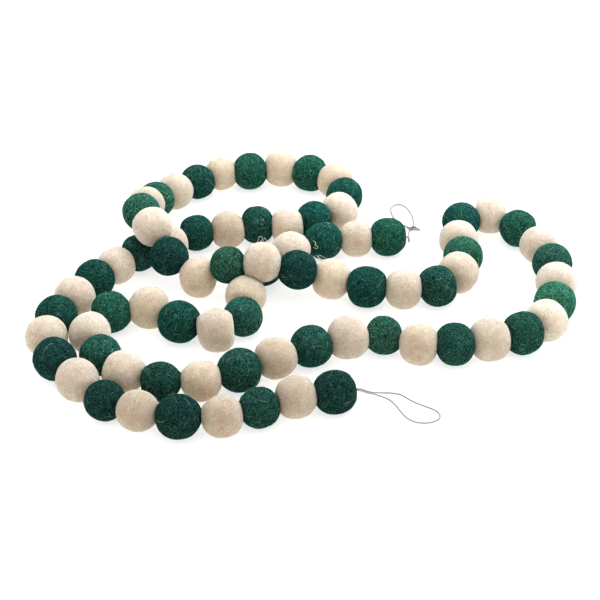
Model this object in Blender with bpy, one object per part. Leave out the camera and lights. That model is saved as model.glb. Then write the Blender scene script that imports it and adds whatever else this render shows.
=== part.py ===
"""Felt ball garland: 79 wool felt balls, green and cream by turns, on one cotton thread with a loop at
each end, lying in loose loops on a surface.

Lengths are in metres. +Z is up and the surface is z = 0. The origin is on the surface, under the
middle of the outline of the balls. The balls are numbered along the thread from the near end.
"""

import math
from typing import NamedTuple

import bmesh
import bpy
import numpy as np

MM = 0.001

# Driving sizes
BALL_COUNT = 79
BALL_DIAMETER = 25.0 * MM
THREAD_DIAMETER = 0.9 * MM
NEEDLE_HOLE_DIAMETER = 1.52 * MM
GAP = 0.3 * MM  # clear space between pieces that meet
CREAMS_ON_A_THREAD = 3  # cream balls that one length of thread joins into a piece

# How soft balls sit, as shares of a ball's own size
LYING_HEIGHT = 0.933  # centre height of a ball on the surface, in radii
FREE_END = 0.93  # from a ball's centre to its face at a bare thread, in radii
SPREAD = 1.07  # how far a ball would reach along the thread if nothing pressed on it, in its own reach
PRESSED_BAND = 0.35 * MM  # what comes this near the surface is pressed flat on it
THREAD_SAG = 3.0 * MM  # droop of a bare length of thread between two balls
BARE_AFTER = (74,)  # balls that are followed by a bare length of thread

# How finely the pieces are cut
SIDES = 12
HOLE_SIDES = SIDES // 2
RING_ANGLES = np.radians([22.5, 48.75, 75.0, 105.0, 131.25, 157.5])  # from the pole at the back face

# Balls that differ from the usual size: diameter in mm, ball numbers
OTHER_SIZES = (
    (23.0, (3, 7, 37, 59, 65)),
    (23.5, (4, 6, 17, 28, 64, 78)),
    (24.0, (14, 15, 16, 29, 49, 67, 73)),
    (24.5, (2, 8, 18, 19, 31, 32, 33, 35, 39, 50, 58, 75, 76, 77)),
    (25.5, (25, 26, 27, 36, 40, 43, 48, 52, 53, 54, 55, 63, 71)),
    (26.0, (41, 44, 56, 60, 70, 72)),
)

# The way that the string lies, in mm: ball number, x, y, lift of the ball above the surface
STRING_ROUTE = (
    # near end and front run
    (1, 14, -114, 0),
    (2, -8, -118, 0),
    (4, -48, -134, 0),
    (5, -72, -135, 0),
    (6, -95, -129, 0),
    (7, -114, -120, 0),
    # outer bend on the left
    (9, -147, -84, 0),
    (10, -155, -63, 0),
    (11, -152, -42, 0),
    (13, -134, -3, 0),
    (15, -109, 28, 0),
    (16, -90, 38, 0),
    # middle run at the back
    (17, -74, 52, 0),
    (18, -53, 55, 0),
    (19, -34, 61, 0),
    (20, -14, 58, 0),
    (21, 4, 67, 0),
    (22, 21, 78, 0),
    # bend at the back
    (23, 25, 98, 0),
    (24, 19, 118, 0),
    (26, -19, 135, 0),
    (27, -41, 131, 0),
    (28, -61, 130, 0),
    (30, -92, 104, 0),
    # over balls 15 and 16
    (31, -103, 85, 5),
    (33, -108, 45, 20),
    (34, -99, 24, 22),
    (35, -88, 8, 10),
    (36, -69, -1, 0),
    # over the thread between balls 74 and 75
    (37, -50, -5, 13),
    (38, -29, -7, 15.5),
    (39, -7, -7, 10),
    (40, 14, -3, 0),
    # to the right and round
    (41, 36, -12, 0),
    (43, 80, -11, 0),
    (44, 94, 4, 0),
    (45, 99, 23, 0),
    (46, 98, 43, 0),
    (47, 102, 65, 0),
    (48, 122, 73, 0),
    (49, 139, 57, 0),
    (51, 155, 15, 0),
    (54, 142, -47, 0),
    # second front run
    (56, 106, -66, 0),
    (58, 64, -70, 0),
    (59, 44, -60, 0),
    (61, 1, -72, 0),
    (64, -61, -103, 0),
    (66, -106, -96, 0),
    # inner bend and the last run
    (68, -130, -59, 0),
    (69, -120, -38, 0),
    (70, -97, -34, 0),
    (71, -78, -48, 0),
    (72, -55, -57, 0),
    (73, -40, -42, 0),
    (74, -39, -21, 0),
    (75, -29, 11, 0),
    (76, -12, 30, 0),
    (77, 10, 42, 0),
    (79, 52, 46, 0),
)

# The loops of thread, in mm: x, y and height of the middle of the thread
NEAR_LOOP = (
    (26.0, -111.2, 11.7),
    (28.6, -110.3, 10.9),
    (32.5, -107.5, 7.0),
    (36.6, -103.6, 2.8),
    (41.0, -101.2, 0.7),
    (46.7, -101.2, 0.5),
    (52.0, -102.8, 0.5),
    (56.8, -107.2, 0.5),
    (61.2, -110.6, 0.5),
    (65.6, -113.3, 0.5),
    (69.4, -115.6, 0.5),
    (71.8, -118.2, 0.5),
    (72.8, -121.6, 0.5),
    (71.4, -124.6, 0.5),
    (68.6, -126.2, 0.5),
    (65.6, -127.2, 0.5),
    (62.4, -127.3, 0.5),
    (58.6, -126.4, 0.5),
    (55.3, -124.2, 0.5),
    (52.8, -120.9, 0.5),
    (50.7, -116.8, 0.5),
    (48.4, -112.0, 0.5),
    (46.0, -108.2, 0.5),
    (43.2, -105.6, 0.5),
    (40.0, -104.8, 1.3),
    (36.5, -105.8, 3.4),
    (32.6, -109.0, 7.0),
    (28.8, -111.8, 10.8),
    (26.1, -112.4, 11.7),
)
FAR_STRAND = (
    (63.9, 46.0, 11.7),
    (65.6, 46.8, 10.6),
    (66.6, 50.4, 6.2),
    (66.8, 55.6, 1.6),
    (67.0, 61.0, 0.5),
    (67.4, 66.0, 0.5),
    (68.3, 70.1, 0.8),
)
FAR_LOOP = (
    (71.1, 74.8, 1.0),
    (71.8, 79.0, 0.5),
    (71.8, 84.5, 0.5),
    (71.1, 91.0, 0.5),
    (69.4, 97.4, 0.5),
    (66.8, 102.6, 0.5),
    (63.6, 104.7, 0.5),
    (60.0, 103.6, 0.5),
    (57.6, 99.8, 0.5),
    (57.3, 94.6, 0.5),
    (58.3, 88.4, 0.5),
    (60.4, 83.0, 0.5),
    (63.8, 78.6, 0.5),
    (67.9, 74.6, 1.0),
)
POINT_SPACING = 3.0  # between the points of a thread tube, in thread diameters

# The knot, which lies along X: middle on the surface, length, width and height
KNOT_MIDDLE = np.array([71.2, 72.3, 0.0]) * MM
KNOT_LENGTH, KNOT_WIDTH, KNOT_HEIGHT = 9.4 * MM, 3.8 * MM, 2.8 * MM
KNOT_RINGS = 6
KNOT_SIDES = 8

# Linear colours
DEEP_GREEN = (0.004, 0.105, 0.055)
CREAM = (0.72, 0.60, 0.45)
THREAD_WHITE = (0.75, 0.71, 0.63)
FELT_ROUGHNESS = 0.95
THREAD_ROUGHNESS = 0.8

UP = np.array([0.0, 0.0, 1.0])
SHARP_ANGLE = math.radians(50)


class Ball(NamedTuple):
    """One ball: where it lies, its own directions, and the faces where the thread comes out."""

    centre: np.ndarray
    radius: float
    reach: float  # half length along the thread
    along: np.ndarray
    down: np.ndarray
    side: np.ndarray
    back: np.ndarray
    back_out: np.ndarray
    front: np.ndarray
    front_out: np.ndarray


def unit(vectors):
    return vectors / np.linalg.norm(vectors, axis=-1, keepdims=True)


def smooth(numbers, points, wanted):
    """Read a smooth curve through numbered points: a cubic between each two of them, with the slope at
    each taken from its two neighbours."""
    numbers, points = np.asarray(numbers, float), np.asarray(points, float)
    slopes = np.gradient(points, axis=0) / np.gradient(numbers)[:, None]
    first = np.clip(np.searchsorted(numbers, wanted, side="right") - 1, 0, len(numbers) - 2)
    width = (numbers[first + 1] - numbers[first])[:, None]
    t = (wanted - numbers[first])[:, None] / width
    return (
        (2 * t**3 - 3 * t**2 + 1) * points[first]
        + (t**3 - 2 * t**2 + t) * width * slopes[first]
        + (3 * t**2 - 2 * t**3) * points[first + 1]
        + (t**3 - t**2) * width * slopes[first + 1]
    )


def ball_radii():
    diameters = np.full(BALL_COUNT, BALL_DIAMETER)
    for diameter, numbers in OTHER_SIZES:
        diameters[np.array(numbers) - 1] = diameter * MM
    return diameters / 2


def ball_centres(radii):
    """Centres on the string's route, each as high as the ball's own size and its lift put it."""
    rows = np.array(STRING_ROUTE, float)
    centres = smooth(rows[:, 0], rows[:, 1:] * MM, np.arange(1.0, BALL_COUNT + 1))
    centres[:, 2] += LYING_HEIGHT * radii
    return centres


def string_of_balls():
    """The balls, each meeting its neighbours on a plane across the line between their centres."""
    radii = ball_radii()
    centres = ball_centres(radii)
    steps = np.diff(centres, axis=0)
    lengths = np.linalg.norm(steps, axis=1)
    towards_next = unit(steps)
    to_next = lengths * radii[:-1] / (radii[:-1] + radii[1:])
    from_last = lengths - to_next
    for number in BARE_AFTER:
        to_next[number - 1] = FREE_END * radii[number - 1]
        from_last[number - 1] = FREE_END * radii[number]
    front_out = np.vstack([towards_next, towards_next[-1]])
    back_out = -np.vstack([towards_next[0], towards_next])
    front_reach = np.append(to_next, FREE_END * radii[-1])
    back_reach = np.append(FREE_END * radii[0], from_last)
    fronts = centres + front_out * front_reach[:, None]
    backs = centres + back_out * back_reach[:, None]
    along = unit(fronts - backs)
    down = unit(-UP + along * along[:, 2:])
    side = np.cross(along, down)
    reach = (front_reach + back_reach) / 2
    return [
        Ball(centres[k], radii[k], reach[k], along[k], down[k], side[k],
             backs[k], back_out[k], fronts[k], front_out[k])
        for k in range(BALL_COUNT)
    ]


def circle(sides, turn):
    """Cosines and sines of evenly spaced angles, the first one turn steps from straight down."""
    angles = (np.arange(sides) + turn) * 2 * math.pi / sides
    return np.cos(angles)[:, None], np.sin(angles)[:, None]


def press(points, place, outward):
    """Push what lies beyond a plane straight back onto it, half a gap short of its place."""
    beyond = (points - place) @ outward + GAP / 2
    return points - np.maximum(beyond, 0.0)[..., None] * outward


def felt_rings(ball, balls):
    """The rings of a ball's surface from back to front: a round ball, pressed flat against every ball
    that it meets and on the surface that it lies on."""
    cosines, sines = circle(SIDES, 0.5)
    round_it = ball.down * cosines + ball.side * sines
    reach = SPREAD * ball.reach
    rings = (
        ball.centre
        - ball.along * (reach * np.cos(RING_ANGLES))[:, None, None]
        + round_it * (ball.radius * np.sin(RING_ANGLES))[:, None, None]
    )
    rings = press(rings, ball.back, ball.back_out)
    rings = press(rings, ball.front, ball.front_out)
    for other in balls:
        apart = other.centre - ball.centre
        distance = np.linalg.norm(apart)
        if other is not ball and distance < ball.radius + other.radius + GAP:
            share = ball.radius / (ball.radius + other.radius)
            rings = press(rings, ball.centre + apart * share, apart / distance)
    heights = rings[..., 2]
    heights[heights < PRESSED_BAND] = 0.0
    return list(rings)


def hole_ring(ball, place, outward, diameter):
    """A small ring around the thread, on the ball's face at that place."""
    cosines, sines = circle(HOLE_SIDES, 0.5)
    points = place + (ball.down * cosines + ball.side * sines) * diameter / 2
    short = (points - place) @ outward + GAP / 2
    return points - (short / (ball.along @ outward))[:, None] * ball.along


def thread_ring(ball, middle):
    """A ring of the thread itself, square to the ball's own line."""
    cosines, sines = circle(HOLE_SIDES, 0.5)
    return middle + (ball.down * cosines + ball.side * sines) * THREAD_DIAMETER / 2


def green_rings(ball, balls):
    """A green ball with the needle's hole through it. The last ring joins the first, down the hole."""
    back = hole_ring(ball, ball.back, ball.back_out, NEEDLE_HOLE_DIAMETER)
    front = hole_ring(ball, ball.front, ball.front_out, NEEDLE_HOLE_DIAMETER)
    return [back, *felt_rings(ball, balls), front]


def bare_thread_rings(before, after):
    """Rings of the bare thread between two balls that don't touch: it droops, then goes into the second."""
    droop = (before.front + after.back) / 2 - UP * THREAD_SAG
    return [thread_ring(before, droop), thread_ring(after, after.back)]


def cream_rings(numbers, balls):
    """Cream balls and the thread that joins them through the green ones. The thread ends in the middle
    of the green ball at each end, where the next length of it begins."""
    before, after = balls[numbers[0] - 2], balls[numbers[-1]]
    rings = [thread_ring(before, (before.back + before.front + before.along * GAP) / 2)]
    for number in numbers:
        ball = balls[number - 1]
        rings.append(hole_ring(ball, ball.back, ball.back_out, THREAD_DIAMETER))
        rings += felt_rings(ball, balls)
        rings.append(hole_ring(ball, ball.front, ball.front_out, THREAD_DIAMETER))
        if number in BARE_AFTER:
            rings += bare_thread_rings(ball, balls[number])
    rings.append(thread_ring(after, (after.back + after.front - after.along * GAP) / 2))
    return rings


def knot_rings():
    """A lump with a flat underside: rings across X, widest in the middle."""
    cosines, sines = circle(KNOT_SIDES, 0.5)
    rings = []
    for angle in np.linspace(0.12 * math.pi, 0.88 * math.pi, KNOT_RINGS):
        fullness = math.sin(angle)
        middle = KNOT_MIDDLE + np.array([-math.cos(angle) * KNOT_LENGTH / 2, 0.0, KNOT_HEIGHT / 2])
        across = np.hstack([0 * cosines, sines * KNOT_WIDTH / 2, -cosines * KNOT_HEIGHT / 2])
        ring = middle + across * fullness
        ring[:, 2] = np.where(ring[:, 2] < PRESSED_BAND, 0.0, ring[:, 2])
        rings.append(ring)
    return rings


def join_rings(bm, lower, upper):
    """Faces between two rings of as many corners, or where one has half as many as the other."""
    count = max(len(lower), len(upper))
    for k in range(count):
        corners = []
        for ring, order in ((lower, (k, k + 1)), (upper, (k + 1, k))):
            for corner in order:
                vert = ring[corner % count * len(ring) // count]
                if vert not in corners:
                    corners.append(vert)
        bm.faces.new(corners)


def new_piece(name, rings, closed, material, garland):
    """One closed body through the rings, joined end to end or capped at both ends."""
    place = rings[0].mean(axis=0)
    bm = bmesh.new()
    loops = [[bm.verts.new(point - place) for point in ring] for ring in rings]
    for lower, upper in zip(loops, loops[1:]):
        join_rings(bm, lower, upper)
    if closed:
        join_rings(bm, loops[-1], loops[0])
    else:
        bm.faces.new(loops[0][::-1])
        bm.faces.new(loops[-1])
    mesh = bpy.data.meshes.new(name)
    bm.to_mesh(mesh)
    bm.free()
    mesh.shade_smooth()
    mesh.set_sharp_from_angle(angle=SHARP_ANGLE)
    mesh.materials.append(material)
    piece = bpy.data.objects.new(name, mesh)
    piece.location = place
    put_in(piece, garland)


def new_thread(name, route, material, garland):
    """A loose length of thread: a tube on evenly spaced points of a smooth curve through its route."""
    route = np.array(route) * MM
    passed = np.append(0.0, np.cumsum(np.linalg.norm(np.diff(route, axis=0), axis=1)))
    count = round(passed[-1] / (POINT_SPACING * THREAD_DIAMETER)) + 1
    points = smooth(passed, route, np.linspace(0.0, passed[-1], count))
    curve = bpy.data.curves.new(name, "CURVE")
    curve.dimensions = "3D"
    curve.bevel_depth = THREAD_DIAMETER / 2
    curve.bevel_resolution = 2
    curve.use_fill_caps = True
    spline = curve.splines.new("POLY")
    spline.points.add(count - 1)
    for point, place in zip(spline.points, points):
        point.co = (*place, 1.0)
    curve.materials.append(material)
    put_in(bpy.data.objects.new(name, curve), garland)


def put_in(piece, garland):
    piece.parent = garland
    bpy.context.scene.collection.objects.link(piece)


def plain_material(name, colour, roughness):
    material = bpy.data.materials.new(name)
    material.use_nodes = True
    shader = material.node_tree.nodes["Principled BSDF"]
    shader.inputs["Base Color"].default_value = (*colour, 1.0)
    shader.inputs["Roughness"].default_value = roughness
    shader.inputs["Metallic"].default_value = 0.0
    material.diffuse_color = (*colour, 1.0)
    return material


def remove_everything():
    for piece in list(bpy.data.objects):
        bpy.data.objects.remove(piece, do_unlink=True)


def make_green_balls(balls, garland):
    felt = plain_material("green_felt", DEEP_GREEN, FELT_ROUGHNESS)
    for number in range(1, BALL_COUNT + 1, 2):
        new_piece(f"green_ball_{number:02d}", green_rings(balls[number - 1], balls), True, felt, garland)


def make_cream_balls(balls, garland):
    felt = plain_material("cream_felt", CREAM, FELT_ROUGHNESS)
    creams = list(range(2, BALL_COUNT, 2))
    for first in range(0, len(creams), CREAMS_ON_A_THREAD):
        numbers = creams[first : first + CREAMS_ON_A_THREAD]
        name = "cream_balls_" + "_".join(f"{number:02d}" for number in numbers)
        new_piece(name, cream_rings(numbers, balls), False, felt, garland)


def make_thread_ends(garland):
    cotton = plain_material("cotton_thread", THREAD_WHITE, THREAD_ROUGHNESS)
    new_thread("near_loop", NEAR_LOOP, cotton, garland)
    new_thread("far_strand", FAR_STRAND, cotton, garland)
    new_thread("far_loop", FAR_LOOP, cotton, garland)
    new_piece("far_knot", knot_rings(), False, cotton, garland)


def main():
    remove_everything()
    garland = bpy.data.objects.new("garland", None)
    bpy.context.scene.collection.objects.link(garland)
    balls = string_of_balls()
    make_green_balls(balls, garland)
    make_cream_balls(balls, garland)
    make_thread_ends(garland)


main()
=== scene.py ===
"""Looks of the felt ball garland: matted wool balls with loose hairs, on a twisted cotton thread."""

import math
from typing import NamedTuple

import bpy
import numpy as np
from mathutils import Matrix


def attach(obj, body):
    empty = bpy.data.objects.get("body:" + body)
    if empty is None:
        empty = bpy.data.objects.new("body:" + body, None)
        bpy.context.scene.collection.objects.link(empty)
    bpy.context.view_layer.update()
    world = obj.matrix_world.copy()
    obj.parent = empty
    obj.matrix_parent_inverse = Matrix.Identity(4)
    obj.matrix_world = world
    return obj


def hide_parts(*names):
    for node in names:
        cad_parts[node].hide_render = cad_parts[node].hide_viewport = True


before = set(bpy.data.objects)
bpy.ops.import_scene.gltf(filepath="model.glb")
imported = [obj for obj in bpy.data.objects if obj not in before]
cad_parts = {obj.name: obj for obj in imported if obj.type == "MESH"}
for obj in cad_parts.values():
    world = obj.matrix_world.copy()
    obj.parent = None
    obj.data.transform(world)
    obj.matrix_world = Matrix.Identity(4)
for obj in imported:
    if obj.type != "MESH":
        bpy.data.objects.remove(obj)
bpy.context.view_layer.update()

MM = 0.001
TAU = 2 * math.pi

# The string, as the solids have it
BALL_COUNT = 79
BALL_DIAMETER = 25.0 * MM
THREAD_DIAMETER = 0.9 * MM
CREAMS_ON_A_THREAD = 3
LYING_HEIGHT = 0.933  # centre height of a ball on the surface, in radii
FREE_END = 0.93  # from a ball's centre to its face at a bare thread, in radii
SPREAD = 1.07  # how far a ball would reach along the thread if nothing pressed on it
FIRMNESS = 0.22  # how far a pressed ball keeps its round length, from 0, soft, to 1, hard
DRUM_SHAPE = 2.0  # how fast a ball goes from round to a drum as it is pressed shorter
THREAD_SAG = 3.0 * MM
BARE_AFTER = (74,)  # balls that are followed by a bare length of thread

# How the felt is cut
TOUCHING_GAP = 0.04 * MM  # clear space between balls that press on each other
NEEDLE_HOLE = 1.06 * MM
DIMPLE_DEPTH, DIMPLE_WIDTH = 0.55 * MM, 1.2 * MM
LEAN_POWER = 6  # how closely round its two ends a ball leans over to them
RINGS, SIDES = 30, 52
LUMP_WAVES = 6
LUMP_CLOSENESS = 2.6  # spread of the waves' steepness, in radians over a radius
LUMP_SIZE = 0.0055  # height of each wave of the lumps, in radii
WOOL_SHIFT = 31.0  # from one ball's wool to the next one's, in mm
WOOL_SEED, HAIR_SEED = 500, 1000

# Loose hairs, and curls of stray wool
HAIR_STATIONS, HAIR_SIDES = 5, 3
HAIR_POINTS = 2 + (HAIR_STATIONS - 2) * HAIR_SIDES
HAIR_ROOT_DEPTH, HAIR_CLEARANCE = 0.05, 0.06  # in the ball, and over the surface, in mm
CURL_DIAMETER = 0.38 * MM
CURL_STATIONS, CURL_SIDES = 90, 6
CURL_END_LIFT = 0.3  # of a curl's two ends, as a share of its lift
CURL_NARROWING = 0.9  # share of its thickness that is gone at its two ends

# Balls that differ from the usual size: diameter in mm, ball numbers
OTHER_SIZES = (
    (23.0, (3, 7, 37, 59, 65)),
    (23.5, (4, 6, 17, 28, 64, 78)),
    (24.0, (14, 15, 16, 29, 49, 67, 73)),
    (24.5, (2, 8, 18, 19, 31, 32, 33, 35, 39, 50, 58, 75, 76, 77)),
    (25.5, (25, 26, 27, 36, 40, 43, 48, 52, 53, 54, 55, 63, 71)),
    (26.0, (41, 44, 56, 60, 70, 72)),
)

# Balls whose wool looks other than the usual: share of the usual red, green and blue, ball numbers.
# The shares were matched to how each ball looks where it lies, so besides the ball's own tone they hold
# painted light and shade for how much light falls on it there.
OTHER_DYES_AND_LIGHT = (
    ((0.66, 0.62, 0.66), (1, 5, 7)),  # darkest green
    ((0.70, 0.72, 0.82), (9, 35, 39, 75)),  # deep sea green
    ((0.88, 0.85, 0.82), (3, 65)),  # dark green
    ((0.74, 0.92, 0.92), (11, 13, 17, 29, 41, 71)),  # cool green
    ((0.82, 1.12, 1.16), (21, 23, 47, 77)),  # bluish green
    ((1.06, 1.28, 1.14), (25, 27, 49, 69, 79)),  # light green
    ((1.20, 1.26, 1.26), (51, 67, 73)),  # pale green
    ((1.40, 1.22, 1.10), (37, 59)),  # leaf green
    ((1.50, 1.58, 1.38), (31, 33, 45)),  # bright green
    ((1.85, 2.00, 1.65), (53,)),  # bright leaf green
    ((0.79, 0.77, 0.74), (2, 4, 6)),  # tan, darkened with painted shade
    ((0.88, 0.86, 0.82), (18, 58, 62)),  # tan
    ((0.91, 0.91, 0.91), (8, 32, 56, 60, 72)),  # greyish cream
    ((0.95, 0.93, 0.88), (64, 70)),  # yellowish cream
    ((1.06, 1.03, 0.98), (24, 26, 28, 36, 40, 74)),  # warm cream
    ((1.07, 1.08, 1.12), (34, 46, 50, 52, 68, 76)),  # pale cream
    ((1.13, 1.14, 1.16), (14, 22, 48, 54)),  # nearly white
)

# The way that the string lies, in mm: ball number, x, y, lift of the ball above the surface
STRING_ROUTE = (
    # near end and front run
    (1, 14, -114, 0),
    (2, -8, -118, 0),
    (4, -48, -134, 0),
    (5, -72, -135, 0),
    (6, -95, -129, 0),
    (7, -114, -120, 0),
    # outer bend on the left
    (9, -147, -84, 0),
    (10, -155, -63, 0),
    (11, -152, -42, 0),
    (13, -134, -3, 0),
    (15, -109, 28, 0),
    (16, -90, 38, 0),
    # middle run at the back
    (17, -74, 52, 0),
    (18, -53, 55, 0),
    (19, -34, 61, 0),
    (20, -14, 58, 0),
    (21, 4, 67, 0),
    (22, 21, 78, 0),
    # bend at the back
    (23, 25, 98, 0),
    (24, 19, 118, 0),
    (26, -19, 135, 0),
    (27, -41, 131, 0),
    (28, -61, 130, 0),
    (30, -92, 104, 0),
    # over balls 15 and 16
    (31, -103, 85, 5),
    (33, -108, 45, 20),
    (34, -99, 24, 22),
    (35, -88, 8, 10),
    (36, -69, -1, 0),
    # over the thread between balls 74 and 75
    (37, -50, -5, 13),
    (38, -29, -7, 15.5),
    (39, -7, -7, 10),
    (40, 14, -3, 0),
    # to the right and round
    (41, 36, -12, 0),
    (43, 80, -11, 0),
    (44, 94, 4, 0),
    (45, 99, 23, 0),
    (46, 98, 43, 0),
    (47, 102, 65, 0),
    (48, 122, 73, 0),
    (49, 139, 57, 0),
    (51, 155, 15, 0),
    (54, 142, -47, 0),
    # second front run
    (56, 106, -66, 0),
    (58, 64, -70, 0),
    (59, 44, -60, 0),
    (61, 1, -72, 0),
    (64, -61, -103, 0),
    (66, -106, -96, 0),
    # inner bend and the last run
    (68, -130, -59, 0),
    (69, -120, -38, 0),
    (70, -97, -34, 0),
    (71, -78, -48, 0),
    (72, -55, -57, 0),
    (73, -40, -42, 0),
    (74, -39, -21, 0),
    (75, -29, 11, 0),
    (76, -12, 30, 0),
    (77, 10, 42, 0),
    (79, 52, 46, 0),
)

# The ways of the loose thread, in mm: x, y and height of the middle of the thread
NEAR_LOOP = (
    (26.0, -111.2, 11.7),
    (28.6, -110.3, 10.9),
    (32.5, -107.5, 7.0),
    (36.6, -103.6, 2.8),
    (41.0, -101.2, 0.7),
    (46.7, -101.2, 0.5),
    (52.0, -102.8, 0.5),
    (56.8, -107.2, 0.5),
    (61.2, -110.6, 0.5),
    (65.6, -113.3, 0.5),
    (69.4, -115.6, 0.5),
    (71.8, -118.2, 0.5),
    (72.8, -121.6, 0.5),
    (71.4, -124.6, 0.5),
    (68.6, -126.2, 0.5),
    (65.6, -127.2, 0.5),
    (62.4, -127.3, 0.5),
    (58.6, -126.4, 0.5),
    (55.3, -124.2, 0.5),
    (52.8, -120.9, 0.5),
    (50.7, -116.8, 0.5),
    (48.4, -112.0, 0.5),
    (46.0, -108.2, 0.5),
    (43.2, -105.6, 0.5),
    (40.0, -104.8, 1.3),
    (36.5, -105.8, 3.4),
    (32.6, -109.0, 7.0),
    (28.8, -111.8, 10.8),
    (26.1, -112.4, 11.7),
)
FAR_THREAD = (
    (63.9, 46.0, 11.7),
    (65.6, 46.8, 10.6),
    (66.6, 50.4, 6.2),
    (66.8, 55.6, 1.6),
    (67.0, 61.0, 0.5),
    (67.4, 66.0, 0.5),
    (68.3, 70.1, 0.8),
    # through the knot and round the loop
    (69.8, 72.4, 1.3),
    (71.1, 74.8, 1.0),
    (71.8, 79.0, 0.5),
    (71.8, 84.5, 0.5),
    (71.1, 91.0, 0.5),
    (69.4, 97.4, 0.5),
    (66.8, 102.6, 0.5),
    (63.6, 104.7, 0.5),
    (60.0, 103.6, 0.5),
    (57.6, 99.8, 0.5),
    (57.3, 94.6, 0.5),
    (58.3, 88.4, 0.5),
    (60.4, 83.0, 0.5),
    (63.8, 78.6, 0.5),
    (67.9, 74.6, 1.0),
    # back into the knot
    (69.2, 73.6, 1.3),
)

# The twist of the thread
PLIES = 3
PLY_GROOVE = 0.22  # how deep the groove between two plies is, in thread radii
TWIST_LENGTH = 3.4 * MM  # length of thread in which the plies turn once round
THREAD_STEP, THREAD_SIDES = 0.2 * MM, 18
HIDDEN_THREAD_STEP, HIDDEN_THREAD_SIDES = 1.0 * MM, 9
FINE_STEPS = 40  # to each place of a route when its length is measured
CLOSEST_STOPS = 0.5 * MM  # of the thread's way through the balls

# The knot of the far loop, and the short bow of thread that stands out of it on one side
KNOT_MIDDLE = np.array([69.9, 72.3, 1.4]) * MM
KNOT_SPREAD = np.array([1.15, 0.56, 0.85]) * MM  # of a knotted ring whose strands lie 1 to 3 from its middle
KNOT_STATIONS = 150
BOW_ROOT = np.array([70.4, 72.2, 1.5]) * MM
BOW_REACH, BOW_WIDTH, BOW_DROP = 5.1 * MM, 2.5 * MM, 0.95 * MM
BOW_STATIONS = 60

# The camera
CAMERA_PLACE = (-0.005567, -0.695919, 0.490)
CAMERA_TILT = math.radians(54.5)
CAMERA_LENS, CAMERA_FILM = 80.7, 36.0  # in mm

# The surface and the light
SURFACE_HALF_WIDTH, SURFACE_HEIGHT = 4.0, -0.0002
ROOM_BRIGHTNESS = 0.82

# The finishes' fine structure
NOISE_ROUGHNESS = 0.55
HAIR_DRIFT = 9.0  # how far a slow drift shifts the felt's layers of hair, in mm
LAYER_TURNS = ((0.3, 0.2, 0.0), (1.1, 0.4, 2.1), (0.2, 1.2, 1.0))  # the way each layer is combed
GRAIN_SHARE = 0.35  # of the finest grain in the felt's relief
FELT_RELIEF, COTTON_RELIEF = 0.25 * MM, 0.05 * MM

# The numbers of a ball's finishes: its skin, its own hairs, and a third, which is stray cream wool on
# a green ball and thread on a cream one
SKIN, OWN_HAIR, THIRD = 0, 1, 2

UP = np.array([0.0, 0.0, 1.0])


class Ball(NamedTuple):
    """One ball: where it lies, its own directions, and the faces where the thread comes out."""

    centre: np.ndarray
    radius: float
    reach: float
    axes: np.ndarray  # along the thread, down and to the side
    back: np.ndarray
    back_out: np.ndarray
    front: np.ndarray
    front_out: np.ndarray


class Patch(NamedTuple):
    """Part of a piece: its points, its faces, its finish, and what the finish reads at each point."""

    points: np.ndarray
    faces: tuple
    finish: int
    wool: np.ndarray  # place in the ball's own wool, in mm
    dye: np.ndarray  # multiplies the finish's colour: a ball's tone, painted light and shade


class Hairs(NamedTuple):
    """One kind of loose hair: how many a ball has, and the ranges that each hair's sizes are drawn from,
    in mm. The lifts are how far it stands off the ball, halfway and at its tip."""

    count: int
    length: tuple
    middle_lift: tuple
    tip_lift: tuple
    curl: float  # how far it may bend off to either side, in ball radii
    thickness: tuple
    paleness: tuple  # what its colour is multiplied by
    finish: int = OWN_HAIR


class Curl(NamedTuple):
    """A curl of stray wool that clings to a ball. Its places are given as they look from the camera: to
    the right of the ball's middle and above it, in ball radii."""

    ball: int
    lift: float  # off the ball, in mm
    colour: tuple  # multiplies that of the cream hairs
    places: tuple


def unit(vectors):
    """The same directions, of length one."""
    return vectors / np.linalg.norm(vectors, axis=-1, keepdims=True)


def smooth(numbers, points, wanted):
    """Read a smooth curve through numbered points: a cubic between each two of them, with the slope at
    each taken from its two neighbours."""
    numbers, points = np.asarray(numbers, float), np.asarray(points, float)
    slopes = np.gradient(points, axis=0) / np.gradient(numbers)[:, None]
    first = np.clip(np.searchsorted(numbers, wanted, side="right") - 1, 0, len(numbers) - 2)
    width = (numbers[first + 1] - numbers[first])[:, None]
    t = (wanted - numbers[first])[:, None] / width
    return (
        (2 * t**3 - 3 * t**2 + 1) * points[first]
        + (t**3 - 2 * t**2 + t) * width * slopes[first]
        + (3 * t**2 - 2 * t**3) * points[first + 1]
        + (t**3 - t**2) * width * slopes[first + 1]
    )


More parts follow.
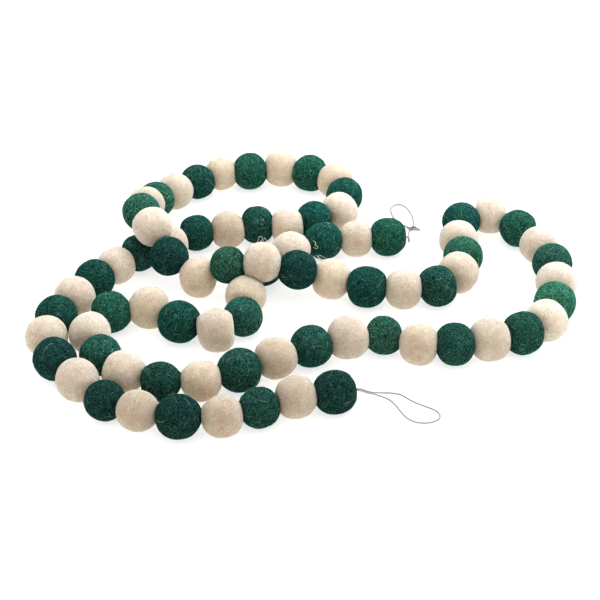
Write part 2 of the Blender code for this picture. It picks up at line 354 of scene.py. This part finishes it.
def string_of_balls():
    """The balls, each meeting its neighbours on a plane across the line between their centres, which
    the two radii share out."""
    radii = np.full(BALL_COUNT, BALL_DIAMETER / 2)
    for diameter, numbers in OTHER_SIZES:
        radii[np.array(numbers) - 1] = diameter * MM / 2
    rows = np.array(STRING_ROUTE, float)
    centres = smooth(rows[:, 0], rows[:, 1:] * MM, np.arange(1.0, BALL_COUNT + 1))
    centres[:, 2] += LYING_HEIGHT * radii
    steps = np.diff(centres, axis=0)
    lengths = np.linalg.norm(steps, axis=1)
    towards_next = unit(steps)
    to_next = lengths * radii[:-1] / (radii[:-1] + radii[1:])
    from_last = lengths - to_next
    for number in BARE_AFTER:
        to_next[number - 1] = FREE_END * radii[number - 1]
        from_last[number - 1] = FREE_END * radii[number]
    front_out = np.vstack([towards_next, towards_next[-1]])
    back_out = -np.vstack([towards_next[0], towards_next])
    front_reach = np.append(to_next, FREE_END * radii[-1])
    back_reach = np.append(FREE_END * radii[0], from_last)
    fronts = centres + front_out * front_reach[:, None]
    backs = centres + back_out * back_reach[:, None]
    along = unit(fronts - backs)
    down = unit(-UP + along * along[:, 2:])
    axes = np.stack([along, down, np.cross(along, down)], axis=1)
    reach = (front_reach + back_reach) / 2
    return [
        Ball(centres[k], radii[k], reach[k], axes[k], backs[k], back_out[k], fronts[k], front_out[k])
        for k in range(BALL_COUNT)
    ]


def neighbours(ball, balls):
    """Planes that a ball is pressed on: those at its two faces, and one to each other ball that it
    would run into."""
    planes = [(ball.back, ball.back_out), (ball.front, ball.front_out)]
    for other in balls:
        apart = other.centre - ball.centre
        distance = np.linalg.norm(apart)
        if other is not ball and distance < ball.radius + other.radius + TOUCHING_GAP:
            share = ball.radius / (ball.radius + other.radius)
            planes.append((ball.centre + apart * share, apart / distance))
    return planes


def press(points, planes):
    """Push what lies beyond a plane straight back onto it, and what lies under the surface up to it."""
    for place, outward in planes:
        beyond = (points - place) @ outward + TOUCHING_GAP / 2
        points = points - np.maximum(beyond, 0.0)[..., None] * outward
    points[..., 2] = np.maximum(points[..., 2], 0.0)
    return points


def lumps(facing, draw):
    """Low swellings all over a ball: a sum of plane waves through it, each with its own direction,
    length and start, read where each direction meets the ball."""
    waves = draw.normal(0.0, LUMP_CLOSENESS, (LUMP_WAVES, 3))
    starts = draw.uniform(0.0, TAU, LUMP_WAVES)
    return 1 + LUMP_SIZE * np.sin(facing @ waves.T + starts).sum(axis=-1)


def felt_surface(ball, planes, facing, seed):
    """Points of a ball's surface for directions in its own axes: the direction times the reach along the
    thread and times the radius across it, times the lumps. The sum of its two parts, each raised to a
    power, is one: 2 makes it round, and a larger power fuller, like a drum. Near the two ends it leans
    over to where the thread comes out and sinks in round it. Then it is pressed flat on what it touches."""
    length = SPREAD * ball.reach
    length += FIRMNESS * max(ball.radius - length, 0.0)
    power = 2 + DRUM_SHAPE * max(1 - ball.reach / ball.radius, 0.0)
    across = np.hypot(facing[..., 1], facing[..., 2])
    fuller = (np.abs(facing[..., 0]) ** power + across**power) ** (-1 / power)
    shape = facing * fuller[..., None] * np.array([length, ball.radius, ball.radius])
    shape = shape * lumps(facing, np.random.default_rng(seed))[..., None]
    points = ball.centre + shape @ ball.axes
    along = facing[..., :1]
    half = ball.axes[0] * ball.reach
    points += (ball.back - ball.centre + half) * np.maximum(-along, 0.0) ** LEAN_POWER
    points += (ball.front - ball.centre - half) * np.maximum(along, 0.0) ** LEAN_POWER
    points = press(points, planes)
    from_axis = ball.radius * np.sqrt(np.maximum(1 - along**2, 0.0))
    sunk = DIMPLE_DEPTH * np.exp(-((from_axis / DIMPLE_WIDTH) ** 2))
    return points - np.sign(along) * sunk * ball.axes[0]


def grid_faces(rows, columns, joined=False):
    """Corner numbers of the faces of a grid that closes round each row, and with joined also from its
    last row back to its first."""
    row = np.arange(rows if joined else rows - 1)[:, None] * columns
    next_row = (row + columns) % (rows * columns)
    column = np.arange(columns)[None, :]
    next_column = (column + 1) % columns
    corners = (row + column, row + next_column, next_row + next_column, next_row + column)
    return np.stack(corners, axis=-1).reshape(-1, 4)


def ball_skin(ball, planes, seed, turn, dye):
    """The skin of a ball on a grid: rings from the hole at its back to the one at its front, evenly
    spaced in angle, and the wall of the needle's hole from the last ring back to the first."""
    hole = math.asin(NEEDLE_HOLE / 2 / ball.radius)
    angles = np.linspace(hole, math.pi - hole, RINGS)[:, None]
    round_it = np.arange(SIDES)[None, :] * TAU / SIDES
    across = np.sin(angles)
    facing = np.stack(
        [-np.cos(angles) + 0 * round_it, across * np.cos(round_it), across * np.sin(round_it)], axis=-1
    ).reshape(-1, 3)
    points = felt_surface(ball, planes, facing, seed)
    wool = facing @ turn * ball.radius / MM + seed * WOOL_SHIFT
    faces = (grid_faces(RINGS, SIDES, joined=True),)
    return Patch(points, faces, SKIN, wool, np.tile(dye, (len(points), 1)))


def ball_hairs(ball, planes, seed, turn, dye, kind):
    """Loose hairs of one kind on a ball. Each follows a great circle of the ball from its root and bends
    off to one side with the square of the way. Its height is sunk at the root, plus an arch, plus the
    tip's own lift times the square of the way. It is a tube of three sides that narrows to a point at
    both ends."""
    way = np.linspace(0.0, 1.0, HAIR_STATIONS)[None, :, None]
    draw = np.random.default_rng(seed + HAIR_SEED * kind.count)

    def pick(limits):
        return draw.uniform(*limits, (kind.count, 1, 1))

    root = unit(draw.normal(size=(kind.count, 1, 3)))
    heading = unit(np.cross(root, draw.normal(size=(kind.count, 1, 3))))
    angle = way * pick(kind.length) * MM / ball.radius
    bend = pick((-kind.curl, kind.curl)) * way**2 + pick((-kind.curl, kind.curl)) * way**3
    facing = unit(root * np.cos(angle) + heading * np.sin(angle) + np.cross(root, heading) * bend)
    arch = 4 * way * (1 - way)
    height = -HAIR_ROOT_DEPTH + pick(kind.middle_lift) * arch + pick(kind.tip_lift) * way**2
    line = felt_surface(ball, planes, facing, seed)
    line = press(line + unit(line - ball.centre) * height * MM, planes)
    line[..., 2] += HAIR_CLEARANCE * MM
    tangent = unit(np.gradient(line, axis=1))
    side = unit(np.cross(tangent, line - ball.centre))
    above = np.cross(tangent, side)
    corner = np.arange(HAIR_SIDES)
    round_it = corner[:, None] * TAU / HAIR_SIDES
    ring = side[:, 1:-1, None] * np.cos(round_it) + above[:, 1:-1, None] * np.sin(round_it)
    rings = line[:, 1:-1, None] + ring * (pick(kind.thickness) * MM / 2)[..., None]
    points = np.concatenate([line[:, :1], rings.reshape(kind.count, -1, 3), line[:, -1:]], axis=1)
    # a ball's own hairs share its colour: its tone with painted light and shade
    colour = dye if kind.finish == OWN_HAIR else np.ones(3)
    colour = np.broadcast_to(colour * pick(kind.paleness), points.shape)
    first = np.arange(kind.count)[:, None, None] * HAIR_POINTS
    following = (corner + 1) % HAIR_SIDES
    root_faces = np.stack([0 * corner, 1 + following, 1 + corner], axis=-1)
    tip = HAIR_POINTS - 1
    last = tip - HAIR_SIDES
    tip_faces = np.stack([0 * corner + tip, last + corner, last + following], axis=-1)
    ends = np.concatenate([root_faces, tip_faces])
    walls = grid_faces(HAIR_STATIONS - 2, HAIR_SIDES)
    faces = ((first + ends).reshape(-1, 3), (first + 1 + walls).reshape(-1, 4))
    wool = np.broadcast_to(root, points.shape).reshape(-1, 3) @ turn * ball.radius / MM + seed * WOOL_SHIFT
    return Patch(points.reshape(-1, 3), faces, kind.finish, wool, colour.reshape(-1, 3))


def stray_curl(ball, curl):
    """A curl on a ball: a smooth line through its places, each of which lies on the half of the ball that
    faces the camera, or beside the ball where it is farther out than the ball's edge. The line is
    lifted off in an arch of a sine. Round it goes a thin tube, thinner by the eighth power of the way
    from its middle to either end."""
    way = np.linspace(0.0, 1.0, CURL_STATIONS)[:, None]
    places = np.array(curl.places)
    seen = smooth(np.linspace(0.0, 1.0, len(places)), places, way[:, 0])
    nearness = np.sqrt(np.maximum(1 - (seen**2).sum(axis=1, keepdims=True), 0.0))
    slant, level = math.cos(CAMERA_TILT), math.sin(CAMERA_TILT)
    toward = np.array([0.0, -level, slant])
    above = np.array([0.0, slant, level])
    line = seen[:, :1] * np.array([1.0, 0.0, 0.0]) + seen[:, 1:] * above + nearness * toward
    line = ball.centre + line * (ball.radius + curl.lift * MM * (CURL_END_LIFT + np.sin(np.pi * way)))
    line[:, 2] = np.maximum(line[:, 2], CURL_DIAMETER / 2)
    tangent = unit(np.gradient(line, axis=0))[:, None]
    side = unit(np.cross(tangent, (line - ball.centre)[:, None]))
    angle = np.arange(CURL_SIDES)[None, :, None] * TAU / CURL_SIDES
    radius = CURL_DIAMETER / 2 * (1 - CURL_NARROWING * np.abs(2 * way - 1) ** 8)
    ring = side * np.cos(angle) + np.cross(tangent, side) * np.sin(angle)
    rings = line[:, None] + ring * radius[:, None]
    points = np.vstack([rings.reshape(-1, 3), line[:1], line[-1:]])
    corner = np.arange(CURL_SIDES)
    following = (corner + 1) % CURL_SIDES
    last = (CURL_STATIONS - 1) * CURL_SIDES
    end_point = CURL_STATIONS * CURL_SIDES
    faces = (
        grid_faces(CURL_STATIONS, CURL_SIDES)[:, ::-1],
        np.stack([0 * corner + end_point, corner, following], axis=-1),
        np.stack([0 * corner + end_point + 1, last + following, last + corner], axis=-1),
    )
    return Patch(points, faces, THIRD, points / MM, np.tile(curl.colour, (len(points), 1)))


def lengths_along(points):
    """The length of the line from its first point to each of them."""
    return np.append(0.0, np.cumsum(np.linalg.norm(np.diff(points, axis=0), axis=1)))


def even_points(numbers, route, step):
    """Points a step apart on the smooth curve through a route."""
    fine = smooth(numbers, route, np.linspace(numbers[0], numbers[-1], FINE_STEPS * len(numbers)))
    passed = lengths_along(fine)
    wanted = np.linspace(0.0, passed[-1], max(2, round(passed[-1] / step) + 1))
    return np.stack([np.interp(wanted, passed, fine[:, k]) for k in range(3)], axis=-1)


def twisted_thread(points, sides, finish=0, ring=False):
    """Twisted thread along a line: at each point a section of as many round plies as the thread has,
    each the arch of a cosine, turned in step with the way gone. The ends close on a point, or with ring
    the line closes on itself."""
    count = len(points)
    if ring:
        tangent = unit(np.roll(points, -1, axis=0) - np.roll(points, 1, axis=0))
        whole = lengths_along(np.vstack([points, points[:1]]))[-1]
        turns = round(whole / TWIST_LENGTH)
        twist = np.arange(count) / count * turns * TAU
    else:
        tangent = unit(np.gradient(points, axis=0))
        twist = lengths_along(points) / TWIST_LENGTH * TAU
    right = unit(np.cross(tangent, UP))[:, None]
    above = np.cross(tangent[:, None], right)
    angle = np.arange(sides)[None, :] * TAU / sides
    arch = np.abs(np.cos(PLIES / 2 * (angle - twist[:, None])))
    radius = (THREAD_DIAMETER / 2 * (1 - PLY_GROOVE * (1 - arch)))[..., None]
    skin = points[:, None] + (right * np.cos(angle)[..., None] + above * np.sin(angle)[..., None]) * radius
    skin = skin.reshape(-1, 3)
    faces = [grid_faces(count, sides, joined=ring)]
    if not ring:
        corner = np.arange(sides)
        following = (corner + 1) % sides
        last = (count - 1) * sides
        faces.append(np.stack([0 * corner + len(skin), following, corner], axis=-1))
        faces.append(np.stack([0 * corner + len(skin) + 1, last + corner, last + following], axis=-1))
        skin = np.vstack([skin, points[:1], points[-1:]])
    skin[:, 2] = np.maximum(skin[:, 2], 0.0)
    return Patch(skin, tuple(faces), finish, skin / MM, np.ones((len(skin), 3)))


def new_piece(name, patches, finishes, slot, *nodes):
    """One piece from its patches, riding on the garland in place of its solids."""
    starts = np.cumsum([0] + [len(patch.points) for patch in patches])
    faces, finish_of_face = [], []
    for start, patch in zip(starts, patches):
        for corners in patch.faces:
            faces += (corners + start).tolist()
            finish_of_face.append(np.full(len(corners), patch.finish))
    mesh = bpy.data.meshes.new(name)
    mesh.from_pydata(np.concatenate([patch.points for patch in patches]).tolist(), [], faces)
    for finish in finishes:
        mesh.materials.append(finish)
    mesh.polygons.foreach_set("material_index", np.concatenate(finish_of_face))
    wool = mesh.attributes.new("wool", "FLOAT_VECTOR", "POINT")
    wool.data.foreach_set("vector", np.concatenate([patch.wool for patch in patches]).ravel())
    dye = mesh.attributes.new("dye", "FLOAT_VECTOR", "POINT")
    dye.data.foreach_set("vector", np.concatenate([patch.dye for patch in patches]).ravel())
    mesh.shade_smooth()
    mesh.update()
    piece = bpy.data.objects.new(name, mesh)
    bpy.context.scene.collection.objects.link(piece)
    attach(piece, "root")
    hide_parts(*nodes)
    return piece


def add(tree, kind, inputs=None, **settings):
    """A node of a finish, with its settings and inputs; an input that is another node's output is linked."""
    node = tree.nodes.new(kind)
    for name, value in settings.items():
        setattr(node, name, value)
    for name, value in (inputs or {}).items():
        if isinstance(value, bpy.types.NodeSocket):
            tree.links.new(value, node.inputs[name])
        else:
            node.inputs[name].default_value = value
    return node


def new_finish(name, **constants):
    """A finish, with the numbers and colours that are the same all over set on its shader."""
    material = bpy.data.materials.new(name)
    material.use_nodes = True
    shader = material.node_tree.nodes["Principled BSDF"]
    for socket, value in constants.items():
        shader.inputs[socket.replace("_", " ")].default_value = value
    return material, material.node_tree, shader


def read(tree, name):
    """What a piece says at each of its points under this name."""
    return add(tree, "ShaderNodeAttribute", attribute_name=name).outputs["Vector"]


def noise(tree, place, scale, detail=2.0):
    """Noise with so many swings to the unit of the place, and smaller ones within by the detail."""
    inputs = {"Vector": place, "Scale": scale, "Detail": detail, "Roughness": NOISE_ROUGHNESS}
    return add(tree, "ShaderNodeTexNoise", inputs)


def stretch(tree, value, lowest, highest, to_lowest=0.0, to_highest=1.0):
    """A value spread in a straight line from its own two limits to two others, and held there."""
    inputs = {
        "Value": value, "From Min": lowest, "From Max": highest, "To Min": to_lowest, "To Max": to_highest,
    }
    return add(tree, "ShaderNodeMapRange", inputs).outputs["Result"]


def blend(tree, share, first, second):
    """One colour that goes over into another by a share. The node's inputs 0, 6 and 7 and its output 2
    are the ones that serve colours."""
    node = add(tree, "ShaderNodeMix", data_type="RGBA")
    for index, value in ((0, share), (6, first), (7, second)):
        if isinstance(value, bpy.types.NodeSocket):
            tree.links.new(value, node.inputs[index])
        else:
            node.inputs[index].default_value = value
    return node.outputs[2]


def times(tree, first, second):
    return add(tree, "ShaderNodeVectorMath", {0: first, 1: second}, operation="MULTIPLY").outputs[0]


def combed(tree, wool, turn, length, width):
    """Streaks of hair that all lie one way: noise drawn out along one direction of the wool, in mm."""
    laid = add(
        tree, "ShaderNodeMapping",
        {"Vector": wool, "Rotation": turn, "Scale": (length, width, width)}, vector_type="TEXTURE",
    )
    return noise(tree, laid.outputs[0], scale=1.0, detail=3.0).outputs["Fac"]


def matted_wool(name, deep, usual, pale, tints, streak, hair_share, hollow_shade, relief, **constants):
    """Felt: three layers of combed hair that cross, bent by a slow drift, of which the topmost shows.
    Slow patches go from the deep colour to the usual one, and the highest hairs take the pale one by
    the hair share. Painted shade darkens the hollows between hairs down to the hollow shade. A slower
    drift between two tints multiplies it all, and so does the ball's own colour share, which holds
    its tone with painted light and shade."""
    material, tree, shader = new_finish(name, **constants)
    wool = read(tree, "wool")
    drift = noise(tree, wool, scale=0.16).outputs["Color"]
    shift = (HAIR_DRIFT, HAIR_DRIFT, HAIR_DRIFT)
    bent = add(tree, "ShaderNodeVectorMath", {0: drift, 1: shift, 2: wool}, operation="MULTIPLY_ADD")
    layers = [combed(tree, bent.outputs[0], turn, *streak) for turn in LAYER_TURNS]
    top = add(tree, "ShaderNodeMath", {0: layers[0], 1: layers[1]}, operation="MAXIMUM").outputs[0]
    top = add(tree, "ShaderNodeMath", {0: top, 1: layers[2]}, operation="MAXIMUM").outputs[0]
    patches = noise(tree, wool, scale=0.22, detail=4.0).outputs["Fac"]
    ground = blend(tree, stretch(tree, patches, 0.3, 0.7), deep, usual)
    shown = blend(tree, stretch(tree, top, 0.56, 0.74, 0.0, hair_share), ground, pale)
    # painted shade: darker where the top layer of hair lies low, in the hollows between hairs
    painted_hollow_shade = stretch(tree, top, 0.42, 0.60, hollow_shade, 1.0)
    hue = noise(tree, wool, scale=0.09).outputs["Fac"]
    shown = times(tree, shown, blend(tree, stretch(tree, hue, 0.35, 0.65), *tints))
    # the ball's colour share: its own tone, with painted light and shade for how lit it lies
    shown = times(tree, times(tree, shown, painted_hollow_shade), read(tree, "dye"))
    tree.links.new(shown, shader.inputs["Base Color"])
    grain = noise(tree, wool, scale=2.2, detail=3.0).outputs["Fac"]
    height = add(tree, "ShaderNodeMath", {0: grain, 1: GRAIN_SHARE, 2: top}, operation="MULTIPLY_ADD")
    height = height.outputs[0]
    bump = add(tree, "ShaderNodeBump", {"Strength": relief, "Distance": FELT_RELIEF, "Height": height})
    tree.links.new(bump.outputs[0], shader.inputs["Normal"])
    return material


def loose_hair(name, deep, pale, **constants):
    """Single hairs that stand off the felt: from the deep colour to the pale one by where they grow."""
    material, tree, shader = new_finish(name, **constants)
    spots = noise(tree, read(tree, "wool"), scale=0.9).outputs["Fac"]
    # each hair's paleness, and on a ball's own hairs its tone with painted light and shade
    shown = times(tree, blend(tree, stretch(tree, spots, 0.35, 0.7), deep, pale), read(tree, "dye"))
    tree.links.new(shown, shader.inputs["Base Color"])
    return material


def twisted_cotton(name, deep, pale, **constants):
    """Off-white thread with fine fibres along it and slightly grey spots."""
    material, tree, shader = new_finish(name, **constants)
    wool = read(tree, "wool")
    spots = noise(tree, wool, scale=1.6, detail=3.0).outputs["Fac"]
    tree.links.new(blend(tree, stretch(tree, spots, 0.3, 0.7), deep, pale), shader.inputs["Base Color"])
    fibres = noise(tree, wool, scale=9.0).outputs["Fac"]
    bump = add(tree, "ShaderNodeBump", {"Strength": 0.5, "Distance": COTTON_RELIEF, "Height": fibres})
    tree.links.new(bump.outputs[0], shader.inputs["Normal"])
    return material


def set_camera():
    """The camera in front of the garland, looking down at it."""
    camera = bpy.data.cameras.new("camera")
    camera.lens, camera.sensor_width = CAMERA_LENS, CAMERA_FILM
    place = bpy.data.objects.new("camera", camera)
    place.location, place.rotation_euler = CAMERA_PLACE, (CAMERA_TILT, 0.0, 0.0)
    bpy.context.scene.collection.objects.link(place)
    bpy.context.scene.camera = place


def soft_light(name, place, size, power, colour=(1.0, 1.0, 1.0)):
    """A square soft light that points at the middle of the garland."""
    light = bpy.data.lights.new(name, "AREA")
    light.shape, light.size, light.energy, light.color = "SQUARE", size, power, colour
    holder = bpy.data.objects.new(name, light)
    holder.location = place
    toward = np.zeros(3) - place
    slant = math.atan2(math.hypot(toward[0], toward[1]), -toward[2])
    heading = math.atan2(toward[1], toward[0]) - math.pi / 2
    holder.rotation_euler = (slant, 0.0, heading)
    bpy.context.scene.collection.objects.link(holder)
    return holder


def set_light(floor):
    """A soft light over the back of the garland, and one for the surface alone, which keeps it as evenly
    white as a lit table."""
    top = soft_light(
        "top_light", place=(0.38, 0.36, 0.82), size=1.0, power=10.2, colour=(0.90, 0.97, 1.08)
    )
    table = soft_light("surface_light", place=(0.0, 0.0, 2.0), size=2.0, power=44.0)
    only_floor = bpy.data.collections.new("surface alone")
    only_floor.objects.link(floor)
    table.light_linking.receiver_collection = only_floor
    table.light_linking.blocker_collection = only_floor
    all_but_floor = bpy.data.collections.new("all but the surface")
    all_but_floor.objects.link(floor)
    all_but_floor.collection_objects[0].light_linking.link_state = "EXCLUDE"
    top.light_linking.receiver_collection = all_but_floor
    world = bpy.data.worlds.new("soft room")
    world.use_nodes = True
    room = world.node_tree.nodes["Background"]
    room.inputs["Color"].default_value = (1.0, 1.0, 1.0, 1.0)
    room.inputs["Strength"].default_value = ROOM_BRIGHTNESS
    bpy.context.scene.world = world
    bpy.context.scene.view_settings.view_transform = "Standard"
    bpy.context.scene.view_settings.look = "Medium High Contrast"


def set_floor():
    """The pale matte surface, a hair's breadth under the garland."""
    material = new_finish(
        "pale surface", Base_Color=(0.70, 0.70, 0.70, 1.0), Roughness=0.9, Specular_IOR_Level=0.2
    )[0]
    mesh = bpy.data.meshes.new("surface")
    half, height = SURFACE_HALF_WIDTH, SURFACE_HEIGHT
    corners = [(-half, -half, height), (half, -half, height), (half, half, height), (-half, half, height)]
    mesh.from_pydata(corners, [], [(0, 1, 2, 3)])
    mesh.materials.append(material)
    floor = bpy.data.objects.new("surface", mesh)
    bpy.context.scene.collection.objects.link(floor)
    return floor


# The loose hairs of green and of cream balls, and the curls
GREEN_HAIRS = (
    Hairs(270, (2.0, 5.5), (0.08, 0.22), (0.0, 0.0), 0.25, (0.09, 0.14), (0.6, 1.7)),
    Hairs(40, (2.0, 4.5), (0.0, 0.2), (0.2, 0.8), 0.25, (0.06, 0.10), (0.6, 1.6)),
    Hairs(9, (4.0, 8.0), (0.2, 0.6), (0.1, 1.5), 0.5, (0.06, 0.10), (0.8, 1.3), THIRD),
)
CREAM_HAIRS = (
    Hairs(120, (3.0, 6.0), (0.08, 0.22), (0.0, 0.0), 0.18, (0.08, 0.13), (0.85, 1.2)),
    Hairs(90, (1.5, 3.5), (0.0, 0.1), (0.2, 0.8), 0.2, (0.05, 0.08), (0.9, 1.1)),
    Hairs(3, (3.0, 6.0), (0.1, 0.5), (0.5, 1.5), 0.5, (0.06, 0.09), (0.9, 1.1)),
)
CURLS = (
    Curl(19, 0.5, (1.35, 1.38, 1.6), (  # pinkish
        (-0.05, -1.00), (0.05, -0.86), (0.15, -0.64), (0.27, -0.67), (0.27, -0.78), (0.17, -0.88),
        (0.32, -0.84), (0.39, -0.70), (0.50, -0.82), (0.64, -0.84), (0.72, -0.74), (0.80, -0.58),
    )),
    Curl(77, 0.6, (1.45, 1.55, 1.15), (  # yellowish
        (-0.84, 0.02), (-0.66, 0.01), (-0.50, -0.07), (-0.42, -0.17), (-0.44, -0.26), (-0.32, -0.35),
        (-0.36, -0.44), (-0.48, -0.41), (-0.64, -0.33), (-0.80, -0.26),
    )),
    Curl(77, 0.5, (1.42, 1.6, 1.9), (  # white
        (-0.66, -0.84), (-0.55, -0.87), (-0.43, -0.80), (-0.30, -0.83), (-0.22, -0.94), (-0.12, -1.04),
        (-0.16, -0.92), (-0.30, -0.88), (-0.24, -0.78), (-0.06, -0.86), (0.06, -0.92), (0.16, -1.00),
    )),
)


def loose_thread(name, route, finish, nodes):
    """A free length of thread on its route."""
    route = np.array(route) * MM
    points = even_points(lengths_along(route), route, THREAD_STEP)
    piece = new_piece(name, [twisted_thread(points, THREAD_SIDES)], [finish], "cotton_thread", *nodes)


def make_thread_ends(cotton):
    """The two loops. The far knot is a knotted ring, whose middle line goes twice round while it rises
    and dips three times. Its bow goes out and back on half an oval that slopes down to the surface."""
    way = np.arange(KNOT_STATIONS) * TAU / KNOT_STATIONS
    ring = np.stack(
        [np.sin(way) + 2 * np.sin(2 * way), np.cos(way) - 2 * np.cos(2 * way), -np.sin(3 * way)], axis=-1
    )
    knot = twisted_thread(KNOT_MIDDLE + ring * KNOT_SPREAD, THREAD_SIDES, ring=True)
    way = np.linspace(0.0, math.pi, BOW_STATIONS)
    oval = np.stack(
        [BOW_REACH * np.sin(way), -BOW_WIDTH / 2 * np.cos(way), -BOW_DROP * np.sin(way)], axis=-1
    )
    bow = twisted_thread(BOW_ROOT + oval, THREAD_SIDES)
    knot = new_piece("far_thread_knot", [knot, bow], [cotton], "cotton_thread", "far_knot")
    loose_thread("near_thread_loop", NEAR_LOOP, cotton, ["near_loop"])
    loose_thread("far_thread_loop", FAR_THREAD, cotton, ["far_strand", "far_loop"])


def dyes_and_light():
    """The colour of each ball's wool, as a share of its finish's: its tone with painted light and shade."""
    colours = np.ones((BALL_COUNT, 3))
    for colour, numbers in OTHER_DYES_AND_LIGHT:
        colours[np.array(numbers) - 1] = colour
    return colours


def felt_ball(number, balls, colours, kinds):
    """The skin, the loose hairs and the curls of one ball, with its wool turned its own way."""
    ball = balls[number - 1]
    planes = neighbours(ball, balls)
    turn = np.linalg.qr(np.random.default_rng(number + WOOL_SEED).normal(size=(3, 3)))[0]
    dye = colours[number - 1]
    return [
        ball_skin(ball, planes, number, turn, dye),
        *(ball_hairs(ball, planes, number, turn, dye, kind) for kind in kinds),
        *(stray_curl(ball, curl) for curl in CURLS if curl.ball == number),
    ]


def make_balls(balls, cotton):
    """A piece for each green ball, and one for each three cream balls with their thread."""
    cream_hair = loose_hair(
        "loose cream hairs", (0.50, 0.42, 0.33, 1.0), (0.74, 0.68, 0.60, 1.0),
        Roughness=0.7, Specular_IOR_Level=0.3,
    )
    green = [
        matted_wool(
            "matted green wool", deep=(0.005, 0.015, 0.011, 1.0), usual=(0.0098, 0.044, 0.0325, 1.0),
            pale=(0.15, 0.44, 0.35, 1.0), tints=((0.92, 0.98, 1.05, 1.0), (1.06, 1.03, 0.93, 1.0)),
            streak=(3.8, 0.30), hair_share=0.85, hollow_shade=0.28, relief=1.2,
            Roughness=0.95, Specular_IOR_Level=0.0, Sheen_Weight=0.08, Sheen_Roughness=0.35,
            Sheen_Tint=(0.05, 0.60, 0.42, 1.0),
        ),
        loose_hair(
            "loose green hairs", (0.012, 0.078, 0.058, 1.0), (0.185, 0.42, 0.34, 1.0),
            Roughness=0.7, Specular_IOR_Level=0.3,
        ),
        cream_hair,
    ]
    cream = [
        matted_wool(
            "matted cream wool", deep=(0.64, 0.525, 0.395, 1.0), usual=(0.755, 0.655, 0.535, 1.0),
            pale=(0.83, 0.775, 0.70, 1.0), tints=((1.03, 0.985, 0.99, 1.0), (0.99, 1.0, 0.955, 1.0)),
            streak=(7.0, 0.24), hair_share=0.9, hollow_shade=0.46, relief=1.05,
            Roughness=0.95, Specular_IOR_Level=0.05, Sheen_Weight=0.2, Sheen_Roughness=0.5,
            Sheen_Tint=(1.0, 0.93, 0.85, 1.0), Diffuse_Roughness=1.0,
            Subsurface_Weight=0.8, Subsurface_Radius=(1.0, 0.9, 0.8), Subsurface_Scale=15.0 * MM,
        ),
        cream_hair,
        cotton,
    ]
    colours = dyes_and_light()
    for number in range(1, BALL_COUNT + 1, 2):
        new_piece(
            f"green_felt_ball_{number:02d}", felt_ball(number, balls, colours, GREEN_HAIRS), green,
            "green_felt", f"green_ball_{number:02d}",
        )
    creams = list(range(2, BALL_COUNT, 2))
    for first in range(0, len(creams), CREAMS_ON_A_THREAD):
        numbers = creams[first : first + CREAMS_ON_A_THREAD]
        patches = []
        for number in numbers:
            patches += felt_ball(number, balls, colours, CREAM_HAIRS)
        patches.append(thread_through(numbers, balls))
        group = "_".join(f"{number:02d}" for number in numbers)
        new_piece(f"cream_felt_balls_{group}", patches, cream, "cream_felt", f"cream_balls_{group}")


def thread_through(numbers, balls):
    """The thread that joins cream balls, from the middle of the green ball before them to the middle of
    the one after: straight through each ball, and drooping where it is bare."""
    before, after = balls[numbers[0] - 2], balls[numbers[-1]]
    stops = [(before.back + before.front) / 2]
    for number in range(numbers[0], numbers[-1] + 1):
        ball = balls[number - 1]
        stops += [ball.back, ball.front]
        if number in BARE_AFTER:
            stops.append((ball.front + balls[number].back) / 2 - UP * THREAD_SAG)
    stops += [after.back, (after.back + after.front) / 2]
    stops = np.array(stops)
    apart = np.append(1.0, np.linalg.norm(np.diff(stops, axis=0), axis=1))
    stops = stops[apart > CLOSEST_STOPS]
    step, sides = HIDDEN_THREAD_STEP, HIDDEN_THREAD_SIDES
    if any(number in BARE_AFTER for number in numbers):
        step, sides = THREAD_STEP, THREAD_SIDES
    return twisted_thread(even_points(lengths_along(stops), stops, step), sides, THIRD)


set_camera()
# greyer than the off-white thread: painted shade for its shading and the soft shadow beside it
cotton = twisted_cotton(
    "twisted cotton", (0.26, 0.235, 0.215, 1.0), (0.40, 0.367, 0.335, 1.0),
    Roughness=0.8, Specular_IOR_Level=0.25, Sheen_Weight=0.2, Sheen_Roughness=0.5,
)
make_thread_ends(cotton)
make_balls(string_of_balls(), cotton)
set_light(set_floor())
